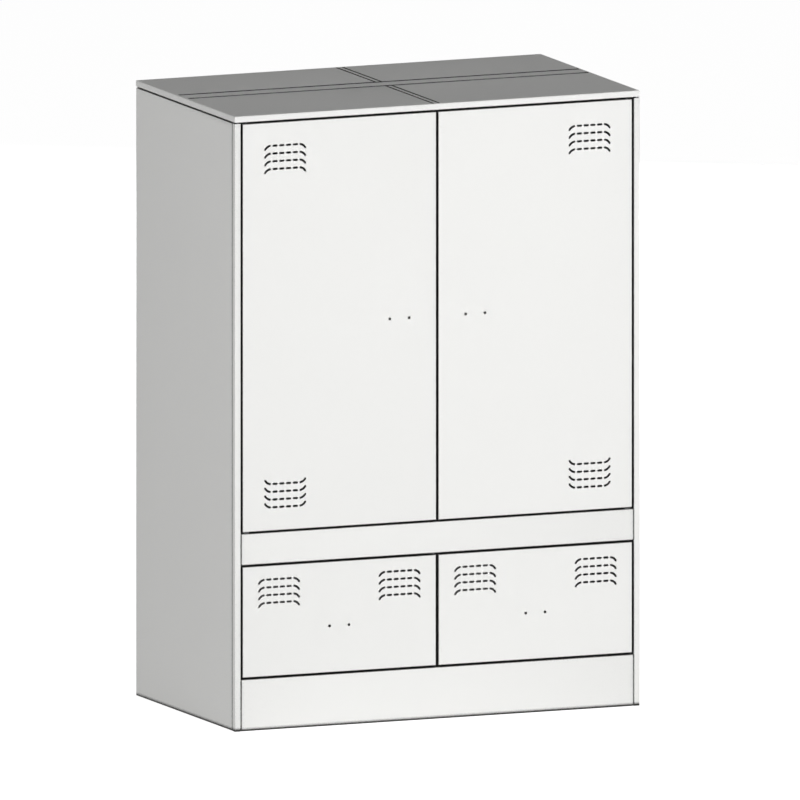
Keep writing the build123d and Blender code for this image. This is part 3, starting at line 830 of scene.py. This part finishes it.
class CABINET_OT_frame_parts(bpy.types.Operator):
    """Deburr the folded frame, sides, posts and rails, and open its seams a little."""

    bl_idname = "cabinet.frame_parts"
    bl_label = "Frame"

    def execute(self, context):
        for node in ("middle_rail", "base_rail"):
            self.fold_rail(node)
        for side, way in SIDES:
            self.fold_wall(f"{side}_side_panel", f"{side}_side_wall")
            self.fold_post(f"{side}_front_post", f"{side}_front_upright", way)
        return {"FINISHED"}

    def deburred(self, node, name):
        """Return a copy of a node with its cut edges rounded."""
        return softened(node, name, sizes().deburr, 2)

    def fold_rail(self, node):
        """Set a rail's ends back from the posts, with a strap behind each seam."""
        s = sizes()
        rail = self.deburred(node, f"{node}_fold")
        low, high = corners(node)
        straps = []
        for way in (-1, 1):
            moved(rail, lambda face: way * middle(face).x > high.x - s.deburr,
                  (-way * s.shadow_gap, 0, 0))
            straps.append(self.strap(way * high.x, low, high))
        hand_over_outer(joined([rail, *straps], rail.name), "cabinet", node)

    def strap(self, end, low, high):
        """Model the strap behind the seam at a rail's end, which closes the view inside."""
        s = sizes()
        near, far = sorted((end, end - math.copysign(STRAP_LENGTH, end)))
        front = low.y + s.sheet + STRAP_AIR
        strap = start_box("strap", (near, front, low.z + s.bend),
                          (far, front + s.sheet, high.z - s.bend))
        return rounded(strap, lambda edge: runs_along(edge, "Z"),
                       radius=s.sheet * 0.3, segments=2)

    def fold_wall(self, node, name):
        """Lower a side's top fold from the lid."""
        s = sizes()
        wall = self.deburred(node, name)
        fold = corners(node)[1].z - s.bend - SLACK
        moved(wall, lambda face: middle(face).z > fold, (0, 0, -s.shadow_gap))
        hand_over_outer(wall, "cabinet", node)

    def fold_post(self, node, name, way):
        """Set a post's turned edge back from the side, and its top from the lid."""
        s = sizes()
        post = self.deburred(node, name)
        low, high = corners(node)
        skin = (high.x if way > 0 else -low.x) - s.sheet - NEAR
        wrap = low.y + POST_WRAP
        moved(post, lambda face: way * middle(face).x > skin
              and wrap - s.deburr < middle(face).y < wrap + NEAR, (0, -s.shadow_gap, 0))
        moved(post, lambda face: middle(face).z > high.z - s.deburr, (0, 0, -s.shadow_gap))
        hand_over_outer(post, "cabinet", node)


class CABINET_OT_soft_parts(bpy.types.Operator):
    """Round the moulded parts: hinge bushes, glides and buffers."""

    bl_idname = "cabinet.soft_parts"
    bl_label = "Moulded parts"

    def execute(self, context):
        rows = [
            ("hinge_bushes", "hinge_bushings", 0.0004, "cabinet", "nylon"),
            ("door_buffers", "door_bumpers", 0.0009, "cabinet", "rubber"),
            ("drawer_buffers", "drawer_bumpers", 0.0007, "cabinet", "rubber"),
        ]
        for side, _ in SIDES:
            rows.append((f"{side}_front_glides", f"{side}_guide_pads", 0.0006, "cabinet", "nylon"))
            rows.append((f"{side}_rear_glides", f"{side}_runner_pads", 0.0006,
                         f"{side}_drawer", "nylon"))
        for node, name, width, body, slot in rows:
            hand_over(softened(node, name, width), body, slot, node)
        return {"FINISHED"}


# A catch's length, the thickness of its pole strips, and how far they stand before the bar
CATCH_LENGTH = 0.024
POLE_STRIP = 0.0014
POLE_STEP = 0.0004


class CABINET_OT_catches(bpy.types.Operator):
    """Model the magnetic catches: a ferrite bar between two steel pole strips."""

    bl_idname = "cabinet.catches"
    bl_label = "Magnetic catches"

    def execute(self, context):
        low, high = corners("catch_magnets")
        bars, poles = [], []
        for left in (low.x, high.x - CATCH_LENGTH):
            right = left + CATCH_LENGTH
            bar = start_box("bar", (left, low.y + POLE_STEP, low.z + POLE_STRIP),
                            (right, high.y, high.z - POLE_STRIP))
            bars.append(rounded(bar, lambda edge: runs_along(edge, "Y"),
                                radius=0.0005, segments=2))
            for foot in (low.z, high.z - POLE_STRIP):
                pole = start_box("pole", (left, low.y, foot), (right, high.y, foot + POLE_STRIP))
                poles.append(rounded(pole, lambda edge: middle(edge).y < low.y + NEAR,
                                     radius=0.0003, segments=2))
        for pieces, name, slot, nodes in ((bars, "catch_bars", "magnet", ["catch_magnets"]),
                                          (poles, "catch_poles", "zinc_steel", [])):
            piece = joined(pieces, name)
            smooth(piece)
            hand_over(piece, "cabinet", slot, *nodes)
        return {"FINISHED"}


def pan_head_screw():
    """Model one pan-head screw with a cross recess, its seat at the origin, facing +Z."""
    radius = sizes().screw_radius
    height = radius * 0.62
    head = start_post("screw", (0, 0, 0), radius, height)
    rounded(head, lambda edge: middle(edge).z > height - NEAR, height * 0.72, 4)
    half_length, half_width, floor = radius * 0.5, radius * 0.11, height * 0.45
    for turn in (0, math.pi / 2):
        bar = start_box("bar", (-half_length, -half_width, floor),
                        (half_length, half_width, height * 2))
        bar.data.transform(Matrix.Rotation(turn, 4, "Z"))
        cut(head, bar)
    smooth(head)
    return head


def low_dome(radius, height, grip):
    """Model one low round dome, its seat at the origin, facing +Z.

    The grip is the share of its height that its top edge is rounded by.
    """
    dome = start_post("dome", (0, 0, 0), radius, height)
    rounded(dome, lambda edge: middle(edge).z > height - NEAR, height * grip, 3)
    smooth(dome)
    return dome


# Turn of the first fixing, and of each one after it, so no two stand alike
FIRST_TURN, NEXT_TURN = 0.5, 1.3


def scattered(first, name, body, slot, places):
    """Copy a fixing to each place, given as a point and the way that it faces."""
    copies = []
    for index, (point, way) in enumerate(places):
        turn = Vector((0, 0, 1)).rotation_difference(Vector(way)).to_matrix().to_4x4()
        spin = Matrix.Rotation(FIRST_TURN + NEXT_TURN * index, 4, "Z")
        copies.append(copied(first, "copy", Matrix.Translation(point) @ turn @ spin))
    bpy.data.objects.remove(first)
    hand_over(joined(copies, name), body, slot)


def spread(low, high, count):
    """Return places that are evenly spread between two ends."""
    return [low + (high - low) * (index + 0.5) / count for index in range(count)]


# Half a shelf rail's width, and how far a screw sits from the rail's end
HALF_RAIL, SCREW_INSET = 0.010, 0.009
# Sheet of a runner, how far a rivet sits above it, and the length of the glide block behind
RUNNER_SHEET, RIVET_LIFT, GLIDE_LENGTH = 0.0012, 0.0062, 0.022
# How far a weld sits from a stiffener's side
WELD_INSET = 0.007
# Rivets in a row, and welds in a row
RIVETS, WELDS = 4, 8


class CABINET_OT_screws(bpy.types.Operator):
    """Place the pan-head screws that hold the shelf rails."""

    bl_idname = "cabinet.screws"
    bl_label = "Screws"

    def execute(self, context):
        for side, way in SIDES:
            low, high = corners(f"{side}_shelf_rails")
            face = low.x if way > 0 else high.x
            places = [((face, y, z), (-way, 0, 0))
                      for y in (low.y + HALF_RAIL, high.y - HALF_RAIL)
                      for z in (low.z + SCREW_INSET, high.z - SCREW_INSET)]
            scattered(pan_head_screw(), f"{side}_rail_screws", "cabinet", "screw_steel", places)
        return {"FINISHED"}


class CABINET_OT_rivets(bpy.types.Operator):
    """Rivet the runners to the drawers' trays."""

    bl_idname = "cabinet.rivets"
    bl_label = "Runner rivets"

    def execute(self, context):
        for side, _ in SIDES:
            tray_low, tray_high = corners(f"{side}_drawer_tray")
            low, high = corners(f"{side}_drawer_runners")
            z = low.z + RUNNER_SHEET + RIVET_LIFT
            places = []
            for y in spread(low.y, high.y - GLIDE_LENGTH, RIVETS):
                places.append(((tray_low.x - RUNNER_SHEET, y, z), (-1, 0, 0)))
                places.append(((tray_high.x + RUNNER_SHEET, y, z), (1, 0, 0)))
            head = low_dome(radius=0.0024, height=0.0008, grip=0.85)
            scattered(head, f"{side}_runner_rivets", f"{side}_drawer", "screw_steel", places)
        return {"FINISHED"}


class CABINET_OT_weld_marks(bpy.types.Operator):
    """Mark the spot welds on the feet of the doors' stiffeners."""

    bl_idname = "cabinet.weld_marks"
    bl_label = "Weld marks"

    def execute(self, context):
        for side, _ in SIDES:
            low, high = corners(f"{side}_door_stiffener")
            face = low.y + sizes().sheet
            places = [((x, face, z), (0, 1, 0))
                      for x in (low.x + WELD_INSET, high.x - WELD_INSET)
                      for z in spread(low.z, high.z, WELDS)]
            mark = low_dome(radius=0.0028, height=0.00012, grip=0.9)
            scattered(mark, f"{side}_door_weld_marks", f"{side}_door", "white_enamel", places)
        return {"FINISHED"}


# Finishes of the solid parts that have no white coat
CARRIED = {
    "zinc_steel": ("shelf_clips", "left_shelf_rails", "right_shelf_rails", "left_drawer_guides",
                   "right_drawer_guides", "left_guide_brackets", "right_guide_brackets",
                   "left_drawer_runners", "right_drawer_runners"),
    "pin_steel": ("left_hinge_pins", "right_hinge_pins"),
    "nylon": ("hinge_bushes", "left_front_glides", "right_front_glides", "left_rear_glides",
              "right_rear_glides"),
    "rubber": ("door_buffers", "drawer_buffers"),
    "magnet": ("catch_magnets",),
}


class CABINET_OT_carried_parts(bpy.types.Operator):
    """Give every solid part its finish."""

    bl_idname = "cabinet.carried_parts"
    bl_label = "Solid parts"

    def execute(self, context):
        slots = {name: slot for slot, names in CARRIED.items() for name in names}
        for name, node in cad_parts.items():
            dress(node, slots.get(name, "white_enamel"))
        return {"FINISHED"}


# Studio

# Share of white that the floor adds where it is seen, and the strength of the even sky
FLOOR_GLOW = 0.82
SKY_LIGHT = 0.17


def seen(tree):
    """Return a socket that is 1 for what the camera or a reflection sees, and 0 for light."""
    rays = add_node(tree, "ShaderNodeLightPath")
    either = add_node(tree, "ShaderNodeMath", operation="MAXIMUM",
                      links={0: rays.outputs["Is Camera Ray"], 1: rays.outputs["Is Glossy Ray"]})
    return either.outputs[0]


def paper_floor(tree, place, colour):
    """White paper on the studio's floor.

    Eye: a pale matt ground, which the camera sees as white apart from the shadow.
    """
    # Paper fibres of about 3 mm, too faint to see as a pattern
    fibres = add_node(tree, "ShaderNodeTexNoise", {"Scale": per_mm(3), "Detail": 2.0},
                      {"Vector": place})
    tint = add_node(tree, "ShaderNodeMix", {"A": shade(colour, 0.99), "B": shade(colour, 1.0)},
                    {"Factor": fibres.outputs["Fac"]}, data_type="RGBA")
    paper = add_node(tree, "ShaderNodeBsdfDiffuse", links={"Color": tint.outputs["Result"]})
    share = add_node(tree, "ShaderNodeMath", {1: FLOOR_GLOW}, {0: seen(tree)},
                     operation="MULTIPLY")
    white = add_node(tree, "ShaderNodeEmission", {"Color": (1, 1, 1, 1)},
                     {"Strength": share.outputs[0]})
    return add_node(tree, "ShaderNodeAddShader",
                    links={0: paper.outputs[0], 1: white.outputs[0]})


class CABINET_OT_studio(bpy.types.Operator):
    """Set up the floor, the soft lamps and the camera."""

    bl_idname = "cabinet.studio"
    bl_label = "Studio"

    def execute(self, context):
        self.make_camera()
        self.make_floor()
        self.make_lights()
        return {"FINISHED"}

    def make_camera(self):
        """Look from the front left and a little above, without perspective."""
        sin_a, cos_a = math.sin(VIEW_AZIMUTH), math.cos(VIEW_AZIMUTH)
        sin_e, cos_e = math.sin(VIEW_ELEVATION), math.cos(VIEW_ELEVATION)
        back = Vector((sin_a * cos_e, -cos_a * cos_e, sin_e))
        right = Vector((cos_a, sin_a, 0.0))
        up = back.cross(right)
        aim = right * VIEW_RIGHT + up * VIEW_UP
        lens = bpy.data.cameras.new("camera")
        lens.type = "ORTHO"
        lens.ortho_scale = VIEW_WIDTH
        lens.clip_end = 100.0
        camera = bpy.data.objects.new("camera", lens)
        bpy.context.scene.collection.objects.link(camera)
        turn = Matrix((right, up, back)).transposed().to_4x4()
        camera.matrix_world = Matrix.Translation(aim + back * CAMERA_DISTANCE) @ turn
        bpy.context.scene.camera = camera

    def make_floor(self):
        """Lay a plain pale floor."""
        deselect()
        bpy.ops.mesh.primitive_circle_add(vertices=96, radius=14.0, fill_type="NGON")
        floor = bpy.context.object
        floor.name = "studio_floor"
        paper = new_material("white paper floor", paper_floor, colours().studio)
        floor.data.materials.append(paper)

    def make_lights(self):
        """Set a lamp in front, weaker ones far to the left and behind, and a dim even sky."""
        world = bpy.data.worlds.new("studio")
        bpy.context.scene.world = world
        world.use_nodes = True
        tree = world.node_tree
        tree.nodes.clear()
        sky, white = [add_node(tree, "ShaderNodeBackground",
                               {"Color": (1, 1, 1, 1), "Strength": strength})
                      for strength in (SKY_LIGHT, 1.0)]
        mix = add_node(tree, "ShaderNodeMixShader",
                       links={0: seen(tree), 1: sky.outputs[0], 2: white.outputs[0]})
        add_node(tree, "ShaderNodeOutputWorld", links={"Surface": mix.outputs[0]})

        aim = Vector((0.0, 0.0, 0.48))
        for name, place, size, energy in (
            ("front_lamp", Vector((0.7, -5.0, 0.9)), 2.0, 160.0),
            ("side_lamp", Vector((-4.9, -0.9, 0.8)), 2.0, 64.0),
            ("back_lamp", Vector((2.9, 4.4, 0.45)), 1.0, 120.0),
        ):
            lamp = bpy.data.lights.new(name, "AREA")
            lamp.shape = "DISK"
            lamp.size = size
            lamp.energy = energy
            stand = bpy.data.objects.new(name, lamp)
            bpy.context.scene.collection.objects.link(stand)
            stand.location = place
            stand.rotation_euler = (place - aim).to_track_quat("Z", "Y").to_euler()


class CABINET_PT_sidebar(bpy.types.Panel):
    """List the cabinet's pieces, sizes and colours."""

    bl_label = "Cabinet"
    bl_idname = "CABINET_PT_sidebar"
    bl_space_type = "VIEW_3D"
    bl_region_type = "UI"
    bl_category = "Cabinet"

    def draw(self, context):
        layout = self.layout
        for step in STEPS:
            layout.operator(step.bl_idname)
        for group in (context.scene.cabinet_sizes, context.scene.cabinet_colours):
            box = layout.box()
            for name in group.__annotations__:
                box.prop(group, name)


STEPS = (
    CABINET_OT_studio,
    CABINET_OT_carried_parts,
    CABINET_OT_door_fronts,
    CABINET_OT_drawer_fronts,
    CABINET_OT_lid,
    CABINET_OT_frame_parts,
    CABINET_OT_soft_parts,
    CABINET_OT_catches,
    CABINET_OT_screws,
    CABINET_OT_rivets,
    CABINET_OT_weld_marks,
)
CLASSES = (CabinetSizes, CabinetColours, *STEPS, CABINET_PT_sidebar)


def register():
    """Register the classes, and put the sizes and colours on the scene."""
    for item in CLASSES:
        bpy.utils.register_class(item)
    bpy.types.Scene.cabinet_sizes = bpy.props.PointerProperty(type=CabinetSizes)
    bpy.types.Scene.cabinet_colours = bpy.props.PointerProperty(type=CabinetColours)


def unregister():
    """Take the sizes, the colours and the classes away again."""
    del bpy.types.Scene.cabinet_colours
    del bpy.types.Scene.cabinet_sizes
    for item in reversed(CLASSES):
        bpy.utils.unregister_class(item)


def main():
    """Build the cabinet and its studio."""
    register()
    bpy.context.scene.view_settings.view_transform = "Standard"
    bpy.ops.cabinet.studio()
    bpy.ops.cabinet.carried_parts()
    bpy.ops.cabinet.door_fronts()
    bpy.ops.cabinet.drawer_fronts()
    bpy.ops.cabinet.lid()
    bpy.ops.cabinet.frame_parts()
    bpy.ops.cabinet.soft_parts()
    bpy.ops.cabinet.catches()
    bpy.ops.cabinet.screws()
    bpy.ops.cabinet.rivets()
    bpy.ops.cabinet.weld_marks()
    deselect()


if __name__ == "__main__":
    main()
